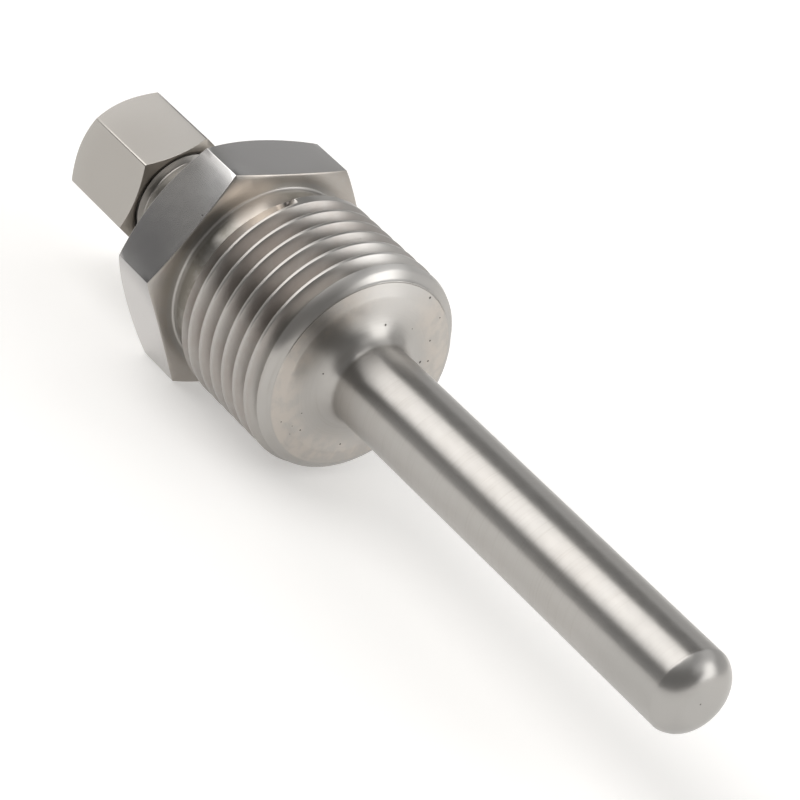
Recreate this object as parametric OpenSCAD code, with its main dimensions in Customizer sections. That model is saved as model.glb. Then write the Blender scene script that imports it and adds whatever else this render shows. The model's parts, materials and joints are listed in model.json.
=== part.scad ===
// Screw-in thermowell with a compression gland for a 6 mm probe.
// One turned body (gland neck, hexagon, parallel pipe thread, stem with a
// closed end), a gland nut on the neck and a ferrule inside the nut.
// Units are millimetres. The well lies on a flat of its hexagon, with its
// axis along X, the closed end towards +X, and the floor at Z = 0.

/* [Process thread] */
// Major diameter of the parallel pipe thread, G 1/2
thread_d = 20.955; // [20.6:0.005:21]
// Pitch of the process thread, 14 turns an inch
thread_pitch = 1.814; // [1.5:0.001:2]
// Distance from the seat face to the end of the threaded shoulder
thread_len = 16.1; // [12:0.1:24]
// Diameter of the turned relief between the seat face and the thread
relief_d = 18.5; // [17.8:0.05:18.9]
// Length of the relief
relief_len = 2.1; // [1.5:0.1:4]
// Radius of the rounded rim at the end of the shoulder
rim_r = 2.0; // [1:0.1:2.6]
// How far the shoulder's end face rises from its rim to the stem's fillet
dome_rise = 0.1; // [0.1:0.05:1.5]

/* [Stem] */
// Outer diameter of the stem
stem_d = 8.0; // [7.6:0.1:9]
// Immersion length, from the seat face to the closed tip
immersion = 64.5; // [45:0.5:250]
// Radius of the fillet where the stem leaves the shoulder
fillet_r = 1.7; // [0.5:0.1:2.5]
// Edge radius of the closed tip
tip_r = 2.2; // [1:0.1:3]
// Diameter of the blind bore that takes the probe
bore_d = 6.2; // [4.5:0.1:6.3]
// Thickness of the closed end
tip_wall = 2.6; // [1.5:0.1:6]

/* [Hexagon] */
// Width across the flats of the big hexagon
hex_af = 21.4; // [21.3:0.1:27]
// Thickness of the big hexagon
hex_h = 6.4; // [5:0.1:10]
// Angle of the light chamfer on the seat side
hex_front_angle = 15; // [5:1:30]
// Angle of the chamfer on the gland side
hex_rear_angle = 30; // [15:1:35]

/* [Gland neck] */
// Major diameter of the neck's fine thread, M10 x 1
neck_d = 10.0; // [9.8:0.05:10]
// Length of the neck behind the hexagon
neck_len = 11.1; // [10.6:0.1:11.3]
// Diameter of the neck's relief beside the hexagon
neck_relief_d = 8.7; // [8:0.1:9]
// Length of the neck's relief
neck_relief_len = 1.8; // [1:0.1:3]
// Diameter of the 24 degree cone at the neck's mouth
mouth_d = 7.5; // [7:0.1:7.8]

/* [Gland nut] */
// Width across the flats of the gland nut
nut_af = 11.4; // [11.3:0.1:13]
// Length of the gland nut
nut_len = 10.3; // [10:0.1:11]
// Free length of neck between the big hexagon and the nut
nut_gap = 6.8; // [6:0.1:7.5]
// How far the nut's flats are turned from the big hexagon's flats
nut_clocking = 23; // [0:1:59]
// Diameter of the plain bore that stands for the nut's inner thread
nut_bore_d = 10.12; // [10.08:0.01:10.2]
// Diameter of the probe hole in the nut's end
nut_hole_d = 6.2; // [6.2:0.1:7]

/* [Ferrule] */
// Outer diameter of the ferrule's collar
ferrule_d = 8.7; // [8:0.1:9]
// Inner diameter of the ferrule
ferrule_hole_d = 6.2; // [6.2:0.05:6.3]

/* [Hidden] */
$fn = 96;

// arcs of a turned profile: points about [r, z], from angle a0 to a1
function arc(r, z, rad, a0, a1, n = 8) =
    [for (i = [0 : n]) let (a = a0 + (a1 - a0) * i / n) [r + rad * cos(a), z + rad * sin(a)]];

thread_r = thread_d / 2;
relief_r = relief_d / 2;
stem_r = stem_d / 2;
bore_r = bore_d / 2;
ramp_len = (thread_r - relief_r) / tan(45);

hex_r = hex_af / 2;
hex_corner_r = hex_r / cos(30);
front_circle_r = hex_r + 0.05;
rear_circle_r = hex_r - 0.55;
front_drop = (hex_corner_r - front_circle_r) * tan(hex_front_angle);
rear_drop = (hex_corner_r - rear_circle_r) * tan(hex_rear_angle);

neck_r = neck_d / 2;
neck_end = -hex_h - neck_len;
mouth_r = mouth_d / 2;
mouth_depth = (mouth_r - bore_r) / tan(12);
bore_end = immersion - tip_wall;
drill_point = bore_r * tan(31);

rim_z = thread_len - rim_r;
fillet_foot_r = stem_r + fillet_r;
fillet_z = thread_len + dome_rise;

nut_front = -hex_h - nut_gap;
nut_rear = nut_front - nut_len;
nut_r = nut_af / 2;
nut_corner_r = nut_r / cos(30);
nut_front_circle_r = nut_r - 0.1;
nut_rear_circle_r = nut_r - 0.4;
nut_front_drop = (nut_corner_r - nut_front_circle_r) * tan(30);
nut_rear_drop = (nut_corner_r - nut_rear_circle_r) * tan(40);
nut_bore_r = nut_bore_d / 2;
nut_hole_r = nut_hole_d / 2;
cone_foot = nut_rear + 1.3;
cone_top = cone_foot + (nut_bore_r - nut_hole_r);

// the ferrule's collar rests 0.07 mm clear of the nut's 90 degree cone
ferrule_r = ferrule_d / 2;
ferrule_hole_r = ferrule_hole_d / 2;
ferrule_edge_r = ferrule_hole_r + 0.4;
collar_z = cone_foot + (ferrule_r - nut_hole_r) + 0.07;
ferrule_rear = collar_z - (ferrule_r - ferrule_edge_r);
ferrule_front = collar_z + 4.3;
ferrule_nose_r = ferrule_hole_r + 0.25;

// turned profiles are drawn with Z along the well; place() lays them down
module place() {
    translate([-(immersion + nut_rear) / 2, 0, hex_r]) rotate([0, 90, 0]) children();
}

// hexagonal bar between two faces, with a cone cut on each end
module chamfered_hex(r, z0, z1, circle0, drop0, circle1, drop1) {
    corner = r / cos(30);
    intersection() {
        translate([0, 0, z0]) cylinder(r = corner, h = z1 - z0, $fn = 6);
        rotate_extrude()
            polygon([[0, z0], [circle0, z0], [corner + 0.001, z0 + drop0],
                     [corner + 0.001, z1 - drop1], [circle1, z1], [0, z1]]);
    }
}

// neck behind the hexagon: chamfered mouth, fine thread as a plain shaft, relief
module neck() {
    rotate_extrude()
        polygon([[0, neck_end], [neck_r - 0.5, neck_end], [neck_r, neck_end + 0.5],
                 [neck_r, -hex_h - neck_relief_len - 0.4],
                 [neck_relief_d / 2, -hex_h - neck_relief_len],
                 [neck_relief_d / 2, -hex_h + 1], [0, -hex_h + 1]]);
}

// relief, threaded shoulder with its rounded rim and face, fillet, stem and tip
module shank() {
    rotate_extrude()
        polygon(concat(
            [[0, -1], [relief_r, -1], [relief_r, relief_len], [thread_r, relief_len + ramp_len]],
            arc(thread_r - rim_r, rim_z, rim_r, 0, 90, 8),
            arc(fillet_foot_r, fillet_z + fillet_r, fillet_r, 270, 180, 8),
            arc(stem_r - tip_r, immersion - tip_r, tip_r, 0, 90, 10),
            [[0, immersion]]));
}

// probe bore with its drill point, and the 24 degree cone at the mouth
module probe_space() {
    rotate_extrude()
        polygon([[0, neck_end - 1], [mouth_r, neck_end - 1], [mouth_r, neck_end],
                 [bore_r, neck_end + mouth_depth], [bore_r, bore_end - drill_point],
                 [0, bore_end]]);
}

module well_body() {
    color([0.72, 0.70, 0.67]) place() difference() {
        union() {
            rotate([0, 0, 30])
                chamfered_hex(hex_r, -hex_h, 0, rear_circle_r, rear_drop,
                              front_circle_r, front_drop);
            neck();
            shank();
        }
        probe_space();
    }
}

module compression_nut() {
    color([0.80, 0.78, 0.75]) place() difference() {
        rotate([0, 0, 30 + nut_clocking])
            chamfered_hex(nut_r, nut_rear, nut_front, nut_rear_circle_r, nut_rear_drop,
                          nut_front_circle_r, nut_front_drop);
        rotate_extrude()
            polygon([[0, nut_rear - 1], [nut_hole_r, nut_rear - 1], [nut_hole_r, cone_foot],
                     [nut_bore_r, cone_top], [nut_bore_r, nut_front - 0.25],
                     [nut_bore_r + 0.25, nut_front], [nut_bore_r + 0.25, nut_front + 1],
                     [0, nut_front + 1]]);
    }
}

module ferrule() {
    color([0.78, 0.77, 0.76]) place() rotate_extrude()
        polygon([[ferrule_hole_r, ferrule_rear], [ferrule_edge_r, ferrule_rear],
                 [ferrule_r, collar_z], [ferrule_r, collar_z + 1.9],
                 [ferrule_nose_r + 2.2 * tan(12), ferrule_front - 2.2],
                 [ferrule_nose_r, ferrule_front], [ferrule_hole_r, ferrule_front]]);
}

well_body();
compression_nut();
ferrule();
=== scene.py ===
"""Looks of the screw-in thermowell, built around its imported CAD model."""

import json
import math

import bpy
import numpy as np
from mathutils import Matrix, Vector


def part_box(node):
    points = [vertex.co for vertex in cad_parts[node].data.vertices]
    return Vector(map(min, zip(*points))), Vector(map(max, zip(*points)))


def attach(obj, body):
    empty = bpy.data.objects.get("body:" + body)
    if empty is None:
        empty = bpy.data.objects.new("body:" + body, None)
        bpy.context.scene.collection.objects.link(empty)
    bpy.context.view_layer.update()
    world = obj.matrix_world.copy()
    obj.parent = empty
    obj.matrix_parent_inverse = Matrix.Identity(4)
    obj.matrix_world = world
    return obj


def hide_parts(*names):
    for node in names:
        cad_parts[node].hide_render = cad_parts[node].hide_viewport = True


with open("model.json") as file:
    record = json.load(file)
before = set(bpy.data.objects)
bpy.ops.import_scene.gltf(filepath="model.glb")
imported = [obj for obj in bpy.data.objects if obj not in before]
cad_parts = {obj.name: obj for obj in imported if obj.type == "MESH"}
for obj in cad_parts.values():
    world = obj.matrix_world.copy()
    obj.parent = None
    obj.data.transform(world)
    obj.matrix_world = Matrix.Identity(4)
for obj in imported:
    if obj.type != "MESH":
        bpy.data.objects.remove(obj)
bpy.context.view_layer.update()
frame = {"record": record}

# ---------------------------------------------------------------- sizes, in mm
# The turned shapes are drawn about the well's axis. x is the row frame's x, r the
# distance from the axis, and an angle is measured from +Z towards -Y.
MM = 0.001
mounts = {m["name"]: m for m in frame["record"]["mounts"]}
body_lo, body_hi = (np.array(p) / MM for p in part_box("well_body"))
nut_lo, nut_hi = (np.array(p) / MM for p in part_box("compression_nut"))
fer_lo, fer_hi = (np.array(p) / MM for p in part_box("ferrule"))
AXIS = mounts["stem"]["pos_m"][2] / MM
SEAT = mounts["seat_face"]["pos_m"][0] / MM
TIP = body_hi[0]
NECK_END = body_lo[0]
HEX_R = body_hi[2] - AXIS
CREST_R = mounts["process_thread"]["dims"]["r_mm"]
STEM_R = mounts["stem"]["dims"]["r_mm"]
BORE_R = mounts["probe_bore"]["dims"]["r_mm"]

PITCH = 1.814
RELIEF_R, RELIEF_LEN, RAMP = 9.25, 2.1, 45.0
RIM_A, RIM_B, SHOULDER = 2.0, 2.0, 16.1
FACE_EDGE = 66.0  # slope of the rim where the face begins
FACE = ((SHOULDER + 0.02, 8.3), (SHOULDER + 0.1, 7.0))  # x from the seat, r
FILLET_A, FILLET_B, TIP_R = 3.0, 1.7, 2.4
HEX_H = 6.4
NECK_R, NECK_RELIEF_R = 5.0, 4.35
WHITWORTH_R = 0.137329 * PITCH
ROOT_R = CREST_R - 0.640327 * PITCH
THREAD_START = 17.5  # angle where the thread's cut begins
THREAD_X = SEAT + 3.265  # where its root lies at that angle

DEG = math.pi / 180


def circle_angles(n, start=0.0):
    return start * DEG + np.arange(n) * (2 * math.pi / n)


def to_xyz(x, r, a):
    """Points in the row frame, in metres, of places about the axis in mm."""
    x, r, a = np.broadcast_arrays(
        np.asarray(x, float), np.asarray(r, float), np.asarray(a, float)
    )
    return np.stack([x, -r * np.sin(a), AXIS + r * np.cos(a)], -1) * MM


class Skin:
    """A closed surface made of rings about the axis, joined in the order that they are drawn, with the outside on the left."""

    def __init__(self):
        self.verts, self.faces, self.mats = [], [], []
        self.count = 0

    def add(self, points):
        points = np.asarray(points, float).reshape(-1, 3)
        ids = np.arange(self.count, self.count + len(points))
        self.verts.append(points)
        self.count += len(points)
        return ids

    def ring(self, x, r, angles):
        """Returns (ids, angles)."""
        x = np.broadcast_to(np.asarray(x, float), np.shape(angles))
        r = np.broadcast_to(np.asarray(r, float), np.shape(angles))
        return self.add(to_xyz(x, r, angles)), np.asarray(angles, float)

    def face(self, ids, mat):
        self.faces.append(tuple(int(i) for i in ids))
        self.mats.append(mat)

    def join(self, a, b, mat=0):
        """A strip from ring a on to ring b. Rings with other angles are zipped together by triangles."""
        (ia, ta), (ib, tb) = a, b
        na, nb = len(ia), len(ib)
        if na == nb and np.allclose(ta, tb, atol=1e-9):
            for i in range(na):
                k = (i + 1) % na
                self.face((ia[i], ia[k], ib[k], ib[i]), mat)
            return
        i = j = 0
        while i < na or j < nb:
            next_a = ta[i + 1] if i + 1 < na else ta[0] + 2 * math.pi
            next_b = tb[j + 1] if j + 1 < nb else tb[0] + 2 * math.pi
            if j >= nb or (i < na and next_a <= next_b):
                self.face((ia[i % na], ia[(i + 1) % na], ib[j % nb]), mat)
                i += 1
            else:
                self.face((ia[i % na], ib[(j + 1) % nb], ib[j % nb]), mat)
                j += 1

    def turned(self, start, profile, angles, mat=0):
        """Rings along a profile of (x, r), joined on from the ring start."""
        last = start
        for x, r in profile:
            new = self.ring(x, r, angles)
            if last is not None:
                self.join(last, new, mat)
            last = new
        return last

    def cap_from(self, x, ring, mat=0):
        """Closes the surface before its first ring, from a point on the axis."""
        c = self.add(to_xyz(x, 0.0, 0.0))[0]
        ids = ring[0]
        n = len(ids)
        for i in range(n):
            self.face((c, ids[(i + 1) % n], ids[i]), mat)

    def cap_to(self, ring, x, mat=0):
        c = self.add(to_xyz(x, 0.0, 0.0))[0]
        ids = ring[0]
        n = len(ids)
        for i in range(n):
            self.face((ids[i], ids[(i + 1) % n], c), mat)

    def object(self, name, mats, sharp=32.0):
        me = bpy.data.meshes.new(name)
        me.from_pydata(np.concatenate(self.verts).tolist(), [], self.faces)
        me.polygons.foreach_set("material_index", self.mats)
        me.polygons.foreach_set("use_smooth", [True] * len(self.faces))
        for m in mats:
            me.materials.append(m)
        me.update()
        me.set_sharp_from_angle(angle=sharp * DEG)
        ob = bpy.data.objects.new(name, me)
        bpy.context.scene.collection.objects.link(ob)
        weighted = ob.modifiers.new("normals", "WEIGHTED_NORMAL")
        weighted.mode = "FACE_AREA"
        weighted.keep_sharp = True
        weighted.weight = 50
        return ob


def arc(cx, cr, rad, a0, a1, n, ends=True):
    """(x, r) points of an arc about (cx, cr). Angle 0 points away from the axis and 90 towards +X."""
    t = np.linspace(a0, a1, n + 1) * DEG
    pts = [(cx + rad * math.sin(a), cr + rad * math.cos(a)) for a in t]
    return pts if ends else pts[1:]


def hex_radius(a, flat_r, phase, round_r, crown=0.0):
    """How far a hexagonal bar's surface is from the axis, with its corners rounded."""
    e = (np.asarray(a) - phase * DEG) % (math.pi / 3)
    e = np.minimum(e, math.pi / 3 - e)  # angle from the nearest corner
    r = flat_r / np.cos(math.pi / 6 - e)
    # the drawn flats fall away a little towards the corners
    side = np.tan(math.pi / 6 - e) / math.tan(math.pi / 6)
    r = r - crown * (0.25 * side**2 + 0.75 * side**6)
    c = (flat_r - round_r) / math.cos(math.pi / 6) - crown
    inside = round_r**2 - (c * np.sin(e)) ** 2
    touch = math.atan2(round_r * 0.5, c + round_r * math.cos(math.pi / 6))
    return np.where(
        e < touch, c * np.cos(e) + np.sqrt(np.maximum(inside, 0)), r
    )


def hex_angles(flat_r, phase, round_r, per_flat):
    """Angles of a ring on a hexagonal bar: even along each flat, and close together on the rounded corners."""
    c = (flat_r - round_r) / math.cos(math.pi / 6)
    touch = math.atan2(round_r * 0.5, c + round_r * math.cos(math.pi / 6))
    # even steps along the flat itself, between its two touch points
    side = np.tan(np.linspace(-(math.pi / 6 - touch), math.pi / 6 - touch, per_flat))
    side = np.linspace(side[0], side[-1], per_flat)
    flat = np.arctan(side) + math.pi / 6
    near = np.linspace(-touch, touch, 7)[1:-1]
    one = np.concatenate([near, flat])
    out = np.concatenate([one + k * math.pi / 3 for k in range(6)]) + phase * DEG
    out = np.sort(out % (2 * math.pi))
    return out


# ---------------------------------------------------------------- threads
CREST_FLAT = 0.12  # half the width of the crest's turned flat
CREST_ROUND = 0.045


def whitworth(u):
    """Depth of the 55 degree form below its crest, at a distance u from the middle of a root. Its root is round and its crest is left flat from turning."""
    u = np.abs((u + PITCH / 2) % PITCH - PITCH / 2)
    rc, t = WHITWORTH_R, WHITWORTH_R * math.sin(62.5 * DEG)
    depth = CREST_R - ROOT_R
    drop = rc * (1 - math.cos(62.5 * DEG))
    v = PITCH / 2 - u
    root = depth - (rc - np.sqrt(np.maximum(rc**2 - u**2, 0)))
    # the flank runs straight between the root's round and the crest's small edge round
    e, f = CREST_ROUND * math.sin(62.5 * DEG), CREST_ROUND * (1 - math.cos(62.5 * DEG))
    foot, head = depth - drop, f
    lo, hi = t, PITCH / 2 - CREST_FLAT - e
    flank = foot + (head - foot) * (u - lo) / (hi - lo)
    q = np.clip(v - CREST_FLAT, 0, e)
    crest = CREST_ROUND - np.sqrt(np.maximum(CREST_ROUND**2 - q**2, 0))
    return np.where(u <= t, root, np.where(v <= CREST_FLAT + e, crest, flank))


_t = WHITWORTH_R * math.sin(62.5 * DEG)
_e = CREST_ROUND * math.sin(62.5 * DEG)
_flank = np.linspace(_t, PITCH / 2 - CREST_FLAT - _e, 7)
_half = np.concatenate(
    [
        WHITWORTH_R * np.sin(np.linspace(0, 62.5, 5) * DEG)[1:],
        _flank[1:],
        PITCH / 2 - CREST_FLAT - CREST_ROUND * np.sin(np.array([31.0, 0.0]) * DEG),
    ]
)
WHITWORTH_ROWS = np.concatenate([-_half[:4][::-1], [0.0], _half, [PITCH / 2], PITCH - _half[4:][::-1]])


def metric(u, crest, root_flat, depth):
    """Depth of a 60 degree form of pitch 1 below its crest, at a distance u from the middle of a root, with flats at crest and root."""
    u = np.abs((u + 0.5) % 1.0 - 0.5)
    a, b = root_flat / 2, 0.5 - crest / 2
    return depth * np.clip((b - u) / (b - a), 0, 1)


def metric_rows(crest, root_flat):
    a, b = root_flat / 2, 0.5 - crest / 2
    return np.array(
        [
            -a,
            0.0,
            a,
            a + (b - a) * 0.33,
            a + (b - a) * 0.67,
            b,
            0.5,
            1 - b,
            1 - b + (b - a) * 0.33,
            1 - b + (b - a) * 0.67,
        ]
    )


def thread(skin, start, end, angles, x0, x1, pitch, rows, surface, root_x, mat=0, flip=False):
    """The threaded stretch between the rings start, at x0, and end, at x1, with rows of points that follow the helix.

    rows are places within one pitch, from the middle of a root, and root_x is where a root lies at angle 0.
    surface(x, a) gives the radius and whether the thread's own form sets it. Angles run on from angles[0] by one turn."""
    n = len(angles)
    first = root_x + pitch * angles / (2 * math.pi)  # a root at each column
    k0 = int(math.floor((x0 - first.max()) / pitch)) - 1
    k1 = int(math.ceil((x1 - first.min()) / pitch)) + 1
    per = len(rows)
    offsets = np.concatenate([rows + k * pitch for k in range(k0, k1 + 1)])
    x = first[None, :] + offsets[:, None]
    least = np.min(np.diff(np.sort(rows))) * 0.45
    low, high = x <= x0 + least, x >= x1 - least
    r, own = surface(x, np.broadcast_to(angles, x.shape))
    # where the form's own surface meets the blank's, the nearest point moves on to the meeting line
    lo_i, hi_i = x[:-1].copy(), x[1:].copy()
    swap = own[:-1] != own[1:]
    a_mid = np.broadcast_to(angles, lo_i.shape)
    left = own[:-1].copy()
    for _ in range(22):
        mid = (lo_i + hi_i) / 2
        _, m = surface(mid, a_mid)
        same = m == left
        lo_i = np.where(same, mid, lo_i)
        hi_i = np.where(same, hi_i, mid)
    cross = (lo_i + hi_i) / 2
    moved = np.zeros(x.shape, bool)
    for j in range(len(x) - 1):
        s = swap[j] & ~low[j] & ~low[j + 1] & ~high[j] & ~high[j + 1]
        near_lo = s & (np.abs(cross[j] - x[j]) <= np.abs(x[j + 1] - cross[j])) & ~moved[j]
        near_hi = s & ~near_lo
        x[j] = np.where(near_lo, cross[j], x[j])
        x[j + 1] = np.where(near_hi, cross[j], x[j + 1])
        moved[j] |= near_lo
        moved[j + 1] |= near_hi
    r, own = surface(x, np.broadcast_to(angles, x.shape))
    ids = np.empty(x.shape, int)
    keep = ~(low | high)
    pts = to_xyz(x[keep], r[keep], np.broadcast_to(angles, x.shape)[keep])
    ids[keep] = skin.add(pts)
    ids[low] = np.broadcast_to(start[0], x.shape)[low]
    ids[high] = np.broadcast_to(end[0], x.shape)[high]
    total = len(offsets)
    for c in range(n):
        d = (c + 1) % n
        shift = per if c == n - 1 else 0  # a turn on, the same helix lies a pitch further
        for j in range(total - 1):
            if c == n - 1:
                # column 0 holds the same helix row one pitch on
                jj = j + shift
                if jj + 1 >= total:
                    q0, q1 = end[0][d], end[0][d]
                else:
                    q0, q1 = ids[jj, d], ids[jj + 1, d]
            else:
                q0, q1 = ids[j, d], ids[j + 1, d]
            quad = [ids[j, c], q0, q1, ids[j + 1, c]]
            seen = []
            for q in quad:
                if q not in seen:
                    seen.append(q)
            if len(seen) < 3:
                continue
            skin.face(seen[::-1] if flip else seen, mat)


# ---------------------------------------------------------------- materials
class Nodes:
    """A short way to write node trees."""

    def __init__(self, tree):
        self.t = tree
        self.x = 0

    def add(self, kind, **props):
        n = self.t.nodes.new(kind)
        n.location = (self.x, 0)
        self.x += 60
        for k, v in props.items():
            setattr(n, k, v)
        return n

    def put(self, socket, value):
        if isinstance(value, bpy.types.NodeSocket):
            self.t.links.new(value, socket)
        elif value is not None:
            socket.default_value = value

    def math(self, op, a, b=None, c=None, clamp=False):
        n = self.add("ShaderNodeMath", operation=op, use_clamp=clamp)
        for s, v in zip(n.inputs, (a, b, c)):
            self.put(s, v)
        return n.outputs[0]

    def vec(self, op, a, b=None, scale=None):
        n = self.add("ShaderNodeVectorMath", operation=op)
        self.put(n.inputs[0], a)
        self.put(n.inputs[1], b)
        if scale is not None:
            self.put(n.inputs["Scale"], scale)
        return n.outputs["Value"] if op in ("LENGTH", "DISTANCE", "DOT_PRODUCT") else n.outputs[0]

    def span(self, v, a, b, c=0.0, d=1.0, smooth=True):
        """v from a..b mapped on to c..d, clamped."""
        n = self.add(
            "ShaderNodeMapRange", interpolation_type="SMOOTHSTEP" if smooth else "LINEAR"
        )
        for k, w in zip(("Value", "From Min", "From Max", "To Min", "To Max"), (v, a, b, c, d)):
            self.put(n.inputs[k], w)
        return n.outputs["Result"]

    def noise(self, vector, scale, detail=2.0, rough=0.5, dims="3D"):
        n = self.add("ShaderNodeTexNoise", noise_dimensions=dims)
        if dims == "1D":
            self.put(n.inputs["W"], vector)
        else:
            self.put(n.inputs["Vector"], vector)
        n.inputs["Scale"].default_value = scale
        n.inputs["Detail"].default_value = detail
        n.inputs["Roughness"].default_value = rough
        return n.outputs["Fac"] if "Fac" in n.outputs else n.outputs[0]

    def mix(self, f, a, b):
        n = self.add("ShaderNodeMix", data_type="RGBA")
        self.put(n.inputs[0], f)
        self.put(n.inputs[6], a)
        self.put(n.inputs[7], b)
        return n.outputs[2]

    def combine(self, x, y, z):
        n = self.add("ShaderNodeCombineXYZ")
        for s, v in zip(n.inputs, (x, y, z)):
            self.put(s, v)
        return n.outputs[0]


def steel(name, colour, warm, rough, spread, lines, bump, mottling, turned=0.0, streaks=0.0, pits=(), tone_and_painted_light_zones=(), painted_light_spots=()):
    """Turned stainless steel: fine rings about the axis, soft patches of duller and warmer metal, a grain finer than
    the eye can count, small pits at given places, and painted highlights, painted reflections and painted shade in
    given spots and zones.
    """
    m = bpy.data.materials.new(name)
    m.use_nodes = True
    t = m.node_tree
    t.nodes.clear()
    g = Nodes(t)
    out = g.add("ShaderNodeOutputMaterial")
    bsdf = g.add("ShaderNodeBsdfPrincipled")
    t.links.new(bsdf.outputs[0], out.inputs[0])
    bsdf.inputs["Metallic"].default_value = 1.0
    where = g.add("ShaderNodeTexCoord").outputs["Object"]
    sep = g.add("ShaderNodeSeparateXYZ")
    g.put(sep.inputs[0], where)
    x, y, z = (g.math("MULTIPLY", s, 1000.0) for s in sep.outputs)
    zc = g.math("SUBTRACT", z, AXIS)
    r = g.math("SQRT", g.math("ADD", g.math("MULTIPLY", y, y), g.math("MULTIPLY", zc, zc)))
    mm = g.combine(x, y, z)
    # rings: noise that changes quickly along the profile and hardly round it
    swept = g.combine(
        g.math("ADD", g.math("MULTIPLY", x, lines), g.math("MULTIPLY", r, lines)),
        g.math("MULTIPLY", y, 0.12),
        g.math("MULTIPLY", zc, 0.12),
    )
    rings = g.noise(swept, 1.0, 3.0, 0.65)
    patches = g.noise(mm, 0.22, 3.0, 0.55)
    grain = g.noise(mm, 14.0, 2.0, 0.6)
    blotch = g.noise(mm, 0.9, 4.0, 0.6)
    tone = g.math(
        "ADD",
        g.math("MULTIPLY", g.math("SUBTRACT", patches, 0.5), mottling),
        g.math("MULTIPLY", g.math("SUBTRACT", rings, 0.5), 0.35),
    )
    tone = g.math("ADD", tone, 0.5, clamp=True)
    base = g.mix(tone, colour, warm)
    if streaks:
        base = g.mix(g.math("MULTIPLY", g.span(rings, 0.52, 0.72), streaks), base, (0.30, 0.272, 0.245, 1))
    rough_v = g.math(
        "ADD",
        rough,
        g.math(
            "MULTIPLY",
            g.math(
                "ADD",
                g.math("SUBTRACT", blotch, 0.5),
                g.math("MULTIPLY", g.math("SUBTRACT", rings, 0.5), 0.8),
            ),
            spread,
        ),
        clamp=True,
    )
    height = g.math(
        "ADD",
        g.math("MULTIPLY", rings, 0.7),
        g.math("MULTIPLY", grain, 0.3),
    )
    # zones of painted shade and painted light, one of them also a warmer tone, broken into soft clouds
    if tone_and_painted_light_zones:
        mixed = g.math("ADD", g.math("MULTIPLY", patches, 0.5), g.math("MULTIPLY", blotch, 0.5))
        for colour_to, x0, x1, r0, r1, soft, amount in tone_and_painted_light_zones:
            zone = g.math(
                "MULTIPLY",
                g.math("MULTIPLY", g.span(x, x0 - 0.15, x0 + 0.15), g.span(x, x1 - 0.15, x1 + 0.15, 1.0, 0.0)),
                g.math("MULTIPLY", g.span(r, r0 - soft, r0 + soft), g.span(r, r1 - 0.1, r1 + 0.1, 1.0, 0.0)),
            )
            cloud = g.span(mixed, 0.40, 0.58, 0.3, 1.0)
            base = g.mix(g.math("MULTIPLY", g.math("MULTIPLY", zone, cloud), amount), base, colour_to)
    # round spots of painted highlight, painted reflection and painted shade
    for colour_to, px, pr, pa, inner, outer, amount in painted_light_spots:
        p = to_xyz(px, pr, pa * DEG) / MM
        d = g.vec("DISTANCE", mm, tuple(float(v) for v in p))
        base = g.mix(g.math("MULTIPLY", g.span(d, inner, outer, 1.0, 0.0), amount), base, colour_to)
    if pits:
        dent = None
        for (px, pr, pa, size) in pits:
            p = to_xyz(px, pr, pa * DEG) / MM
            d = g.vec("DISTANCE", mm, tuple(float(v) for v in p))
            one = g.span(d, size * 0.55, size, 1.0, 0.0)
            dent = one if dent is None else g.math("MAXIMUM", dent, one)
        base = g.mix(g.math("MULTIPLY", dent, 0.85), base, (0.05, 0.045, 0.04, 1))
        height = g.math("SUBTRACT", height, g.math("MULTIPLY", dent, 6.0))
    bsdf_bump = g.add("ShaderNodeBump")
    bsdf_bump.inputs["Strength"].default_value = 1.0
    bsdf_bump.inputs["Distance"].default_value = bump * MM
    g.put(bsdf_bump.inputs["Height"], height)
    g.put(bsdf.inputs["Base Color"], base)
    g.put(bsdf.inputs["Roughness"], rough_v)
    g.put(bsdf.inputs["Normal"], bsdf_bump.outputs[0])
    if turned:
        # turning marks run round the axis, so that light is spread along the profile
        ring = g.combine(0.0, g.math("MULTIPLY", zc, -1.0), y)
        to_world = g.add(
            "ShaderNodeVectorTransform", vector_type="VECTOR", convert_from="OBJECT", convert_to="WORLD"
        )
        g.put(to_world.inputs[0], ring)
        g.put(bsdf.inputs["Tangent"], to_world.outputs[0])
        bsdf.inputs["Anisotropic"].default_value = turned
        bsdf.inputs["Anisotropic Rotation"].default_value = 0.25
    return m


def face_x(r):
    """Where the shoulder's face or its flare is at radius r."""
    if r > FACE[1][1]:
        return SEAT + float(np.interp(r, [FACE[1][1], FACE[0][1], 9.3], [FACE[1][0], FACE[0][0], SHOULDER - 0.17]))
    c = 1 - (r - STEM_R) / FILLET_A
    return SEAT + FACE[1][0] + FILLET_B * (1 - math.sqrt(max(1 - c * c, 0)))


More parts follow.
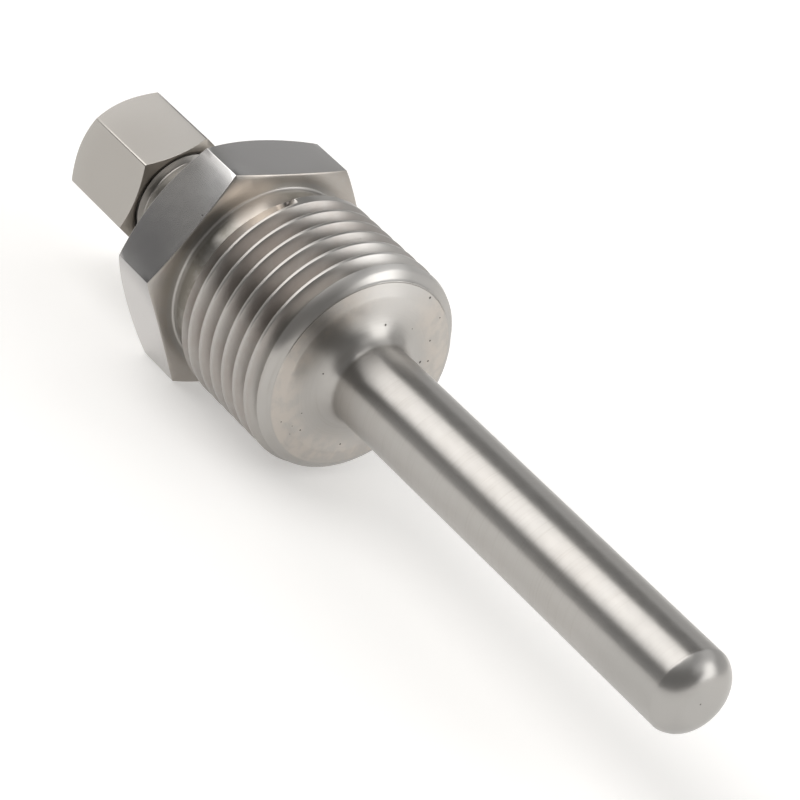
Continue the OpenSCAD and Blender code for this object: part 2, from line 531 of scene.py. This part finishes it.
# radius, angle and size of small pores in the turned face
PORES = [
    (5.29, -4.6, 0.13), (8.89, -33.5, 0.15), (7.10, -64.6, 0.11), (6.11, -81.3, 0.17), (7.05, -82.6, 0.12),
    (4.95, 80.2, 0.09), (7.17, 136.4, 0.1), (7.6, 128.0, 0.08), (8.1, 133.0, 0.07), (8.4, 120.0, 0.08),
    (6.4, 122.0, 0.08), (7.12, -179.1, 0.11), (7.6, 210.0, 0.12), (8.6, -52.0, 0.09), (5.9, -40.0, 0.07),
]
PITS = [(face_x(r), r, a, size) for r, a, size in PORES]
PITS += [(-10.69, 9.93, -3.5, 0.14), (42.43, 3.90, 107.7, 0.11), (44.0, 0.33, 85.8, 0.10)]
body_mat = steel(
    "turned_steel",
    (0.455, 0.445, 0.43, 1),
    (0.43, 0.41, 0.385, 1),
    0.32,
    0.11,
    9.0,
    0.003,
    0.9,
    turned=0.78,
    streaks=0.16,
    pits=PITS,
    painted_light_spots=[
        # painted highlights and painted shade: colour, place, inner and outer radius, amount
        # painted highlight on the upper side of the relief by the seat
        ((0.76, 0.70, 0.635, 1), SEAT + 1.6, 9.5, 25.0, 1.5, 3.8, 0.9),
        # painted highlight on the top of the last crest by the rim
        ((0.60, 0.585, 0.565, 1), SEAT + 15.2, 10.2, -8.0, 2.0, 7.0, 0.9),
        # painted shade on the lower side of the stem, towards the tip
        ((0.41, 0.40, 0.385, 1), 40.0, 4.0, 120.0, 2.0, 9.0, 0.9),
        # painted shadow in the groove where the thread's cut begins
        ((0.09, 0.082, 0.075, 1), SEAT + 2.95, 9.9, 14.3, 0.2, 0.55, 0.9),
    ],
    tone_and_painted_light_zones=[
        # painted shade, painted light and a warmer tone: colour, from x, to x, from r, to r, softness of the inner
        # edge, amount
        # painted shade in the relief groove beside the seat
        ((0.25, 0.236, 0.205, 1), SEAT + 0.6, SEAT + 3.0, 8.6, 10.2, 0.1, 0.8),
        # painted shade on the hexagon's seat face and front chamfer, in the corner by the relief
        ((0.43, 0.39, 0.35, 1), SEAT - 1.2, SEAT + 0.3, 9.9, 13.0, 0.1, 0.6),
        # warmer metal tone, and painted shade in the thread's grooves and flanks, the crests left out
        ((0.42, 0.388, 0.365, 1), SEAT + 2.7, SEAT + 14.0, 9.0, 10.42, 0.1, 0.85),
        # painted light on the shoulder's face inside the rim
        ((0.54, 0.50, 0.458, 1), SEAT + 15.6, SEAT + 17.0, 6.6, 9.2, 1.3, 1.0),
    ],
)
flat_mat = steel(
    "drawn_steel",
    (0.5, 0.49, 0.48, 1),
    (0.48, 0.465, 0.445, 1),
    0.2,
    0.05,
    2.0,
    0.0006,
    0.8,
    pits=[(-20.56 - 0.3, 10.78, 51.7, 0.12), (-24.6, 11.2, 70.0, 0.08)],
    painted_light_spots=[
        # painted shade on the lower end of the left flat
        ((0.33, 0.325, 0.325, 1), -24.5, 11.8, 90.0, 2.0, 8.5, 0.95),
        # painted highlight on the upper end of the left flat
        ((0.74, 0.735, 0.73, 1), -21.5, 12.2, 33.0, 0.5, 5.0, 0.9),
        # painted light on the top flat
        ((0.56, 0.55, 0.545, 1), -25.0, 10.7, 0.0, 3.0, 8.0, 0.9),
        # painted reflection of the bright floor on the lower-left flat
        ((0.57, 0.555, 0.545, 1), -25.0, 11.0, 118.0, 3.0, 8.0, 0.9),
    ],
)
nut_mat = steel(
    "nut_steel",
    (0.47, 0.455, 0.435, 1),
    (0.45, 0.43, 0.40, 1),
    0.24,
    0.06,
    3.0,
    0.001,
    0.8,
    # painted shade on the nut's flat on its left side
    painted_light_spots=[((0.40, 0.38, 0.355, 1), -38.0, 5.9, 84.0, 3.0, 9.0, 0.9)],
)
# a darker copy of the nut's steel for its front chamfer, front face and mouth: painted shade
nut_end_shade_mat = steel(
    "nut_end_shaded_steel", (0.27, 0.25, 0.225, 1), (0.22, 0.20, 0.175, 1), 0.3, 0.08, 8.0, 0.002, 1.0, turned=0.5
)
tip_mat = steel(
    "tip_steel", (0.45, 0.44, 0.425, 1), (0.43, 0.415, 0.395, 1), 0.3, 0.06, 9.0, 0.001, 0.9, turned=0.5, pits=PITS[-1:],
    # painted shade on the lower side of the stem, towards the tip
    painted_light_spots=[((0.41, 0.40, 0.385, 1), 40.0, 4.0, 120.0, 2.0, 9.0, 0.9)],
)
ferrule_mat = steel(
    "ferrule_steel", (0.47, 0.46, 0.44, 1), (0.44, 0.42, 0.4, 1), 0.24, 0.06, 8.0, 0.002, 0.6, turned=0.5
)

# ---------------------------------------------------------------- well body
well = Skin()
round_fine = circle_angles(264, -0.5)
round_96 = circle_angles(96)
round_neck = circle_angles(144)

# blind bore with its drill point, then the gland mouth and the neck's end face
BORE_END = TIP - 2.6
BORE_FOOT = BORE_END - BORE_R * math.tan(31 * DEG)
MOUTH_R = 3.75
MOUTH_X = NECK_END + (MOUTH_R - BORE_R) / math.tan(12 * DEG)
first = well.ring(BORE_END - 0.25, 0.42, round_96)
well.cap_from(BORE_END, first, 0)
bore_rows = [(BORE_FOOT + 0.05, BORE_R - 0.06), (BORE_FOOT - 0.06, BORE_R)]
bore_rows += [(x, BORE_R) for x in np.linspace(BORE_FOOT - 2, MOUTH_X + 0.08, 26)]
bore_rows += [
    (MOUTH_X - 0.08, BORE_R + 0.02),
    (NECK_END + 0.12, MOUTH_R - 0.02),
    (NECK_END + 0.04, MOUTH_R + 0.03),
    (NECK_END, MOUTH_R + 0.12),
    (NECK_END, 4.25),
]
ring = well.turned(first, bore_rows, round_96, 0)

# neck: M10 x 1 from a chamfered end to the relief beside the hexagon
neck_top = SEAT - HEX_H
NECK_X1 = neck_top - 1.8
neck_start = well.ring(NECK_END, 4.34, round_neck)
well.join(ring, neck_start, 0)
neck_finish = well.ring(NECK_X1, NECK_RELIEF_R, round_neck)
NECK_ROOT_X = NECK_END + 0.4


def neck_surface(x, a):
    env = np.minimum(NECK_R, 4.34 + (x - NECK_END) * 1.05)
    env = np.minimum(env, np.maximum(NECK_RELIEF_R, NECK_RELIEF_R + (NECK_X1 - x) * 1.6))
    u = x - (NECK_ROOT_X + a / (2 * math.pi))
    form = NECK_R - metric(u, 0.13, 0.2, 0.613)
    return np.minimum(env, form), form < env


thread(
    well,
    neck_start,
    neck_finish,
    round_neck,
    NECK_END,
    NECK_X1,
    1.0,
    metric_rows(0.13, 0.2),
    neck_surface,
    NECK_ROOT_X,
)

# hexagon
HEX_ROUND = 0.1
hex_a = hex_angles(HEX_R, 30, HEX_ROUND, 25)
hr = hex_radius(hex_a, HEX_R, 30, HEX_ROUND, 0.12)
rear_x = neck_top
CIRCLE_REAR = HEX_R - 0.55
ring = well.turned(
    neck_finish,
    [(NECK_X1 + 0.3, NECK_RELIEF_R), (rear_x - 0.25, NECK_RELIEF_R)]
    + arc(rear_x - 0.25, NECK_RELIEF_R + 0.25, 0.25, 180, 90, 4, False),
    round_neck,
)
ring = well.turned(ring, [(rear_x, 6.5), (rear_x, CIRCLE_REAR - 0.08)], round_neck)
b = 0.045
rear_r = np.minimum(CIRCLE_REAR, hr - 0.1)
rear_edge_x = rear_x + np.maximum((hr - CIRCLE_REAR) * math.tan(30 * DEG), 0.1)
for rx, rr in (
    (rear_x, rear_r - b),
    (rear_x + 0.012, rear_r + b * 0.6),
    (rear_edge_x - b * 0.7, hr - b * 0.9),
    (rear_edge_x - b * 0.1, hr - b * 0.25),
    (rear_edge_x + b, hr),
):
    new = well.ring(rx, rr, hex_a)
    well.join(ring, new)
    ring = new


def front_drop(r):
    """How far the seat side of the hexagon has fallen back at radius r: a face that was turned slightly convex."""
    return 0.0926 * np.maximum(r - 10.2, 0) ** 2


front_edge_x = SEAT - np.maximum(front_drop(hr), 0.0)
mid_x = (rear_edge_x + front_edge_x) / 2
for rx, rr in (
    (mid_x - 1.2, hr),
    (mid_x + 1.2, hr),
    (front_edge_x - b - 0.06, hr),
    (front_edge_x - 0.06 + b * 0.2, hr - b * 0.15),
):
    new = well.ring(rx, rr, hex_a)
    well.join(ring, new, 1)
    ring = new
for k, inset in enumerate((0.06, 0.12)):
    rr = hr - inset
    new = well.ring(SEAT - front_drop(rr) - (0.012 if k == 0 else 0.0), rr, hex_a)
    well.join(ring, new)
    ring = new
for share in (0.8, 0.6, 0.4, 0.2):
    rr = 10.2 + (hr - 0.12 - 10.2) * share
    new = well.ring(SEAT - front_drop(rr), rr, hex_a)
    well.join(ring, new)
    ring = new
new = well.ring(SEAT, 10.2, round_fine)
well.join(ring, new)
ring = new
ring = well.turned(ring, [(SEAT, 9.9)], round_fine)
ring = well.turned(
    ring,
    [(SEAT + 0.24 * (1 - math.cos(t)), RELIEF_R + 0.24 * (1 - math.sin(t))) for t in np.linspace(0, 90, 8) * DEG],
    round_fine,
)

# relief, with the spot where the threading tool went in
fine_a = np.sort(np.concatenate([round_fine, np.linspace(10.6, 18.6, 27) * DEG]))
fine_a = fine_a[np.concatenate([[True], np.diff(fine_a) > 0.15 * DEG])]
relief_a = THREAD_A = fine_a


for x in (0.5, 1.0, 1.6):
    new = well.ring(SEAT + x, RELIEF_R, relief_a)
    well.join(ring, new)
    ring = new
thread_start = well.ring(SEAT + RELIEF_LEN, RELIEF_R, THREAD_A)
well.join(ring, thread_start)

RIM_X = SEAT + SHOULDER - RIM_B
THREAD_END_X = RIM_X + RIM_B * math.sin(FACE_EDGE * DEG)


def blank(x):
    """Radius of the shoulder before its thread is cut."""
    ramp = RELIEF_R + (x - SEAT - RELIEF_LEN) * math.tan(RAMP * DEG)
    out = np.clip((x - RIM_X) / RIM_B, 0, 1)
    rim = (CREST_R - RIM_A) + RIM_A * np.sqrt(1 - out**2)
    return np.minimum(np.minimum(np.maximum(ramp, RELIEF_R), CREST_R), rim)


def thread_surface(x, a):
    env = blank(x)
    root = THREAD_X + PITCH * (a / DEG - THREAD_START) / 360
    turn = np.round((x - root) / PITCH)
    along = a / DEG + 360 * turn - THREAD_START  # degrees on from the cut's start
    form = CREST_R - whitworth(x - root)
    depth = np.clip(along / 5.5 + 1.0, 0, 1)
    cut = env - (env - form) * depth
    form = np.where(depth > 0, cut, 99.0)
    return np.minimum(env, form), form < env


thread_end = well.ring(THREAD_END_X, blank(np.array(THREAD_END_X)), THREAD_A)
thread(
    well,
    thread_start,
    thread_end,
    THREAD_A,
    SEAT + RELIEF_LEN,
    THREAD_END_X,
    PITCH,
    WHITWORTH_ROWS,
    thread_surface,
    THREAD_X - PITCH * THREAD_START / 360,
)

# rest of the rim, the shoulder's face, the fillet and the stem
round_face = circle_angles(192)
EDGE_R = CREST_R - RIM_A + RIM_A * math.cos(FACE_EDGE * DEG)
# the facing tool left a fine line where the rim ends, which dies away on the far side
line = np.clip((80 - np.abs((THREAD_A / DEG - 15 + 180) % 360 - 180)) / 35, 0, 1)
ring = well.turned(
    thread_end,
    [
        (THREAD_END_X + 0.01, EDGE_R - 0.015),
        (THREAD_END_X + 0.016 - 0.071 * line, EDGE_R - 0.045),
        (THREAD_END_X + 0.022 - 0.077 * line, EDGE_R - 0.075),
        (THREAD_END_X + 0.03, EDGE_R - 0.115),
    ],
    THREAD_A,
)
# the face falls away a little outside a soft circle
FACE_X = THREAD_END_X + 0.03
knee_x, knee_r = SEAT + FACE[0][0], FACE[0][1]
face_rows = [(FACE_X + (knee_x - FACE_X) * s, EDGE_R - 0.115 + (knee_r + 0.115 - EDGE_R) * s) for s in (0.3, 0.6, 0.8)]
for s in np.linspace(0, 1, 9):
    # parabola from the slope of the outer band to that of the inner one
    p0 = np.array(face_rows[2])
    p1 = np.array([knee_x, knee_r])
    p2 = np.array([SEAT + FACE[1][0], FACE[1][1] + 0.9])
    q = (1 - s) ** 2 * p0 + 2 * s * (1 - s) * p1 + s**2 * p2
    if s > 0:
        face_rows.append((q[0], q[1]))
FILLET_X = SEAT + FACE[1][0]
face_rows += [(FILLET_X, FACE[1][1] + 0.6), (FILLET_X, FACE[1][1] + 0.3), (FILLET_X, FACE[1][1])]
ring = well.turned(ring, face_rows, round_face)
# the shoulder flares out into the stem along a quarter of an ellipse
flare = [
    (
        FILLET_X + FILLET_B * (1 - math.cos(t)),
        STEM_R + FILLET_A * (1 - math.sin(t)),
    )
    for t in np.linspace(0, 90, 25)[1:] * DEG
]
ring = well.turned(ring, flare, round_face)
TIP_A = 14.0  # the stem's end starts to round off with a slight edge
TIP_START = TIP - TIP_R * (1 - math.sin(TIP_A * DEG))
stem_x = np.concatenate(
    [
        FILLET_X + FILLET_B + np.array([0.1, 0.3, 0.7, 1.5]),
        np.linspace(FILLET_X + FILLET_B + 3, TIP_START - 0.4, 26),
        [TIP_START - 0.1, TIP_START - 0.02],
    ]
)
ring = well.turned(ring, [(x, STEM_R) for x in stem_x], round_96)
ring = well.turned(
    ring,
    arc(TIP - TIP_R, STEM_R - TIP_R * math.cos(TIP_A * DEG), TIP_R, TIP_A, 90, 18),
    round_96,
    2,
)
ring = well.turned(ring, [(TIP, 1.2), (TIP, 0.5)], round_96, 2)
well.cap_to(ring, TIP, 2)
well_ob = well.object("well_body_steel", [body_mat, flat_mat, tip_mat])
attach(well_ob, "well_body")
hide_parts("well_body")

# ---------------------------------------------------------------- gland nut
NUT_FLAT = 5.7
NUT_PHASE = 53.0
NUT_ROUND = 0.25
NUT_FRONT, NUT_REAR = nut_hi[0], nut_lo[0]
nut = Skin()
nut_a = hex_angles(NUT_FLAT, NUT_PHASE, NUT_ROUND, 15)
nr = hex_radius(nut_a, NUT_FLAT, NUT_PHASE, NUT_ROUND)
HOLE = 3.1
NUT_BORE = 5.06
CONE_FOOT = NUT_REAR + 1.3
CONE_TOP = CONE_FOOT + NUT_BORE - HOLE
rear_ring = nut.ring(NUT_REAR, HOLE + 0.2, round_96)
ring = nut.turned(rear_ring, [(NUT_REAR, 4.2), (NUT_REAR, NUT_FLAT - 0.4 - 0.1)], round_96)
rear_r = np.minimum(NUT_FLAT - 0.4, nr - 0.1)
rear_edge = NUT_REAR + (nr - (NUT_FLAT - 0.4)) * math.tan(40 * DEG)
front_r = np.minimum(NUT_FLAT - 0.1, nr - 0.06)
front_edge = NUT_FRONT - np.maximum((nr - (NUT_FLAT - 0.1)) * math.tan(30 * DEG), 0.05)
b = 0.05
middle = (rear_edge + front_edge) / 2
# rings of the front chamfer, and after them the front face and mouth, take the nut's darker second material, which is
# painted shade
for rx, rr in (
    (NUT_REAR, rear_r - b),
    (NUT_REAR + b * 0.5, rear_r + b * 0.5),
    (rear_edge - b * 0.8, nr - b),
    (rear_edge, nr - b * 0.25),
    (rear_edge + b * 1.2, nr),
    (middle - 1.5, nr),
    (middle + 1.5, nr),
    (front_edge - b * 1.2, nr),
    (front_edge - b * 0.1, nr - b * 0.2),
    (front_edge + (NUT_FRONT - front_edge) * 0.12, nr - b - (nr - b - front_r) * 0.05),
    (NUT_FRONT - 0.012, front_r + 0.01),
    (NUT_FRONT, front_r - b),
):
    new = nut.ring(rx, rr, nut_a)
    nut.join(ring, new, 1 if rx is not middle and np.min(rx) > NUT_FRONT - 0.9 and np.max(rr) < np.max(nr) - 0.02 else 0)
    ring = new
ring = nut.turned(
    ring,
    [(NUT_FRONT, 5.42), (NUT_FRONT - 0.02, 5.34), (NUT_FRONT - 0.27, NUT_BORE + 0.02)],
    round_neck,
    1,
)
NUT_T0, NUT_T1 = CONE_TOP + 0.9, NUT_FRONT - 0.3
inner_start = nut.ring(NUT_T1, NUT_BORE, round_neck)
nut.join(ring, inner_start)
inner_end = nut.ring(NUT_T0, NUT_BORE, round_neck)


def inner_surface(x, a):
    """The nut's own thread, half a pitch on from the neck's crests, with a clear gap all round them."""
    u = x - (NECK_ROOT_X + a / (2 * math.pi))
    ridge = NUT_BORE - (0.58 - metric(u, 0.3, 0.13, 0.58))
    ridge = NUT_BORE - 0.56 * np.clip(metric(u, 0.36, 0.1, 1.0), 0, 1)
    fade = np.minimum(
        np.clip((NUT_T1 - x) / 0.6, 0, 1), np.clip((x - NUT_T0) / 0.6, 0, 1)
    )
    r = NUT_BORE - (NUT_BORE - ridge) * fade
    return r, np.ones(x.shape, bool)


thread(
    nut,
    inner_end,
    inner_start,
    round_neck,
    NUT_T0,
    NUT_T1,
    1.0,
    metric_rows(0.36, 0.1),
    inner_surface,
    NECK_ROOT_X,
    flip=True,
)
ring = nut.turned(
    inner_end,
    [
        (CONE_TOP + 0.1, NUT_BORE),
        (CONE_TOP - 0.05, NUT_BORE - 0.06),
        (CONE_FOOT + 0.06, HOLE + 0.07),
        (CONE_FOOT - 0.04, HOLE),
        (NUT_REAR + 0.2, HOLE),
        (NUT_REAR + 0.06, HOLE + 0.06),
    ],
    round_96,
)
nut.join(ring, rear_ring)
nut_ob = nut.object("gland_nut_steel", [nut_mat, nut_end_shade_mat])
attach(nut_ob, "compression_nut")
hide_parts("compression_nut")

# ---------------------------------------------------------------- ferrule
fer = Skin()
FER_R, FER_HOLE = fer_hi[2] - AXIS, 3.1
FR0, FR1 = fer_lo[0], fer_hi[0]
COLLAR = FR0 + (FER_R - FER_HOLE - 0.4)
nose = FER_HOLE + 0.25
e = 0.05
start = fer.ring(FR0, FER_HOLE + 0.1, round_96)
ring = fer.turned(
    start,
    [
        (FR0, FER_HOLE + 0.35),
        (FR0 + 0.03, FER_HOLE + 0.44),
        (COLLAR - 0.05, FER_R - 0.06),
        (COLLAR + 0.03, FER_R),
        (COLLAR + 1.80, FER_R),
        (COLLAR + 1.86, FER_R - 0.05),
        (FR1 - 2.26, nose + 2.2 * math.tan(12 * DEG) - 0.03),
        (FR1 - 0.06, nose - 0.03),
        (FR1, nose - 0.08),
        (FR1, FER_HOLE + 0.07),
        (FR1 - 0.05, FER_HOLE),
        (FR0 + 0.08, FER_HOLE),
    ],
    round_96,
)
fer.join(ring, start)
fer_ob = fer.object("ferrule_steel", [ferrule_mat])
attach(fer_ob, "ferrule")
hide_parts("ferrule")

# ---------------------------------------------------------------- floor, light, camera
floor_me = bpy.data.meshes.new("floor")
s = 1.5
floor_me.from_pydata([(-s, -s, 0), (s, -s, 0), (s, s, 0), (-s, s, 0)], [], [(0, 1, 2, 3)])
floor = bpy.data.objects.new("floor", floor_me)
bpy.context.scene.collection.objects.link(floor)
fm = bpy.data.materials.new("floor")
fm.use_nodes = True
fm.node_tree.nodes.clear()
F = Nodes(fm.node_tree)
f_out = F.add("ShaderNodeOutputMaterial")
f_pos = F.add("ShaderNodeTexCoord").outputs["Object"]
f_far = F.vec("LENGTH", f_pos)
# a pool of light about the part: the floor is paper white there and fades with distance
pool = F.span(f_far, 0.12, 0.75, 1.0, 0.0)
fb = F.add("ShaderNodeBsdfPrincipled")
F.put(fb.inputs["Base Color"], F.mix(pool, (0.6, 0.595, 0.585, 1), (0.8, 0.795, 0.785, 1)))
fb.inputs["Roughness"].default_value = 0.9
fb.inputs["Specular IOR Level"].default_value = 0.1
fb.inputs["Emission Color"].default_value = (1.0, 0.985, 0.965, 1)
F.put(fb.inputs["Emission Strength"], F.math("MULTIPLY", pool, 0.4))
F.t.links.new(fb.outputs[0], f_out.inputs[0])
floor_me.materials.append(fm)

world = bpy.data.worlds.new("studio")
bpy.context.scene.world = world
world.use_nodes = True
wt = world.node_tree
wt.nodes.clear()
W = Nodes(wt)
w_out = W.add("ShaderNodeOutputWorld")
w_dir = W.add("ShaderNodeTexCoord").outputs["Generated"]
w_sep = W.add("ShaderNodeSeparateXYZ")
W.put(w_sep.inputs[0], w_dir)


def heading(azimuth, elevation):
    a, e = azimuth * DEG, elevation * DEG
    return Vector((math.cos(a) * math.cos(e), math.sin(a) * math.cos(e), math.sin(e)))


def panel(azimuth, elevation, half_w, half_h, soft, roll=0.0):
    """How much of a rectangular light panel lies in a direction: its half sides and soft edge are in degrees."""
    c = heading(azimuth, elevation)
    side = Vector((-math.sin(azimuth * DEG), math.cos(azimuth * DEG), 0))
    up = c.cross(side)
    turn = Matrix.Rotation(roll * DEG, 3, c)
    side, up = turn @ side, turn @ up
    front = W.vec("DOT_PRODUCT", w_dir, tuple(c))
    safe = W.math("MAXIMUM", front, 0.02)
    share = None
    for axis, half in ((side, half_w), (up, half_h)):
        along = W.math("ABSOLUTE", W.math("DIVIDE", W.vec("DOT_PRODUCT", w_dir, tuple(axis)), safe))
        w = W.span(along, math.tan((half - soft) * DEG), math.tan((half + soft) * DEG), 1.0, 0.0)
        share = w if share is None else W.math("MULTIPLY", share, w)
    return W.math("MULTIPLY", share, W.span(front, 0.02, 0.1))


def blob(azimuth, elevation, inner, outer):
    """A round patch, full inside one angle and gone outside another."""
    d = W.vec("DOT_PRODUCT", w_dir, tuple(heading(azimuth, elevation)))
    return W.span(d, math.cos(outer * DEG), math.cos(inner * DEG))


LIGHTS = [
    # share, radiance that it moves the surroundings to, tint
    (blob(99, -20, 12, 96), 0.69, (1.0, 0.995, 0.985)),
    (blob(-22, 87, 55, 62), 0.85, (1.0, 1.0, 1.0)),
    (blob(146, 47, 12, 20), 0.13, (1.0, 0.98, 0.96)),
    (blob(-55, 8, 52, 70), 0.25, (1.0, 0.985, 0.97)),
    (blob(-169, -20, 22, 53), 1.35, (1.0, 0.99, 0.975)),
    (blob(-46, 83, 7, 40), 0.45, (1.0, 1.0, 1.0)),
    (blob(-167, 46, 27, 30), 0.04, (1.0, 0.97, 0.94)),
    (blob(-155, 78, 9, 17), 1.3, (1.0, 0.99, 0.98)),
    (panel(38, 17, 12, 27, 6, -16), 2.3, (1.0, 0.995, 0.985)),
    (panel(-148, 49, 21, 24, 3.5, -5), 2.6, (1.0, 0.985, 0.97)),
    (panel(169, 19, 18, 33, 3, -40), 1.35, (1.0, 0.99, 0.975)),
]
glow = (0.1, 0.1, 0.1, 1)
for share, level, tint in LIGHTS:
    glow = W.mix(share, glow, tuple(level * t for t in tint) + (1,))
bg = W.add("ShaderNodeBackground")
W.put(bg.inputs[0], glow)
plain = W.add("ShaderNodeBackground")
plain.inputs[0].default_value = (0.93, 0.93, 0.925, 1)
pick = W.add("ShaderNodeMixShader")
path = W.add("ShaderNodeLightPath")
wt.links.new(path.outputs["Is Camera Ray"], pick.inputs[0])
wt.links.new(bg.outputs[0], pick.inputs[1])
wt.links.new(plain.outputs[0], pick.inputs[2])
wt.links.new(pick.outputs[0], w_out.inputs[0])

cam_data = bpy.data.cameras.new("camera")
cam = bpy.data.objects.new("camera", cam_data)
bpy.context.scene.collection.objects.link(cam)
cam_data.sensor_width = 36
cam_data.lens = 167.904
cam_data.clip_start, cam_data.clip_end = 0.01, 10
right = Vector((0.5585302, 0.77761895, 0.28870881))
down = Vector((0.53643704, -0.07314659, -0.84076446))
ahead = Vector((-0.63267631, 0.62446644, -0.45799819))
rot = Matrix((right, -down, -ahead)).transposed()
cam.matrix_world = Matrix.Translation(Vector((0.20250486, -0.19881880, 0.15741111))) @ rot.to_4x4()
bpy.context.scene.camera = cam
bpy.context.scene.view_settings.view_transform = "Standard"
